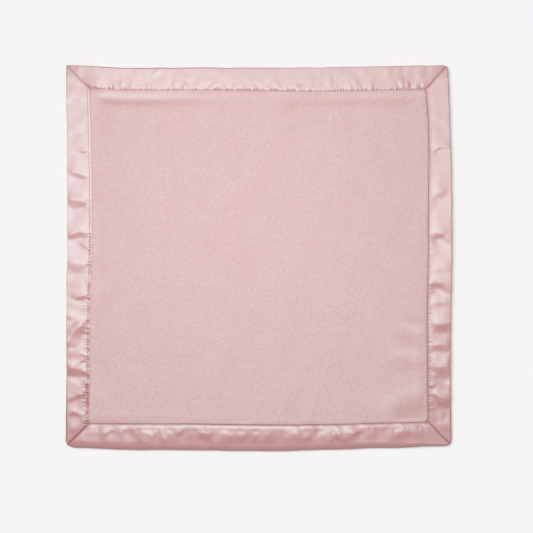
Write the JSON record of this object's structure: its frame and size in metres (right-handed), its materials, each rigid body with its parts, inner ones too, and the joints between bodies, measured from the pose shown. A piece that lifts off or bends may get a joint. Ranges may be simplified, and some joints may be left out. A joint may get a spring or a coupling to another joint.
{
  "type": "comfort blanket",
  "caption": "Square comfort blanket for a baby: a plush fleece panel bound in folded satin, with mitred corners and a topstitched edge.",
  "frame": {"origin": "centre of the blanket's footprint, on the surface that it lies on", "axes": "+Z out of the front face, +Y towards the side named top, +X towards the side named right"},
  "size_m": [0.3564, 0.3552, 0.0069],
  "materials": {
    "plush_fleece": "soft matt pile, pale rose",
    "satin": "smooth satin weave with a soft sheen, pale pink",
    "sewing_thread": "spun polyester, matched to the satin"
  },
  "bodies": {
    "root": {"fleece_panel": "plush_fleece", "binding_top": "satin", "binding_right": "satin", "binding_bottom": "satin", "binding_left": "satin", "mitre_seam_top_right": "sewing_thread", "mitre_seam_bottom_right": "sewing_thread", "mitre_seam_bottom_left": "sewing_thread", "mitre_seam_top_left": "sewing_thread", "topstitch_needle_thread": "sewing_thread", "topstitch_bobbin_thread": "sewing_thread"}
  },
  "joints": []
}
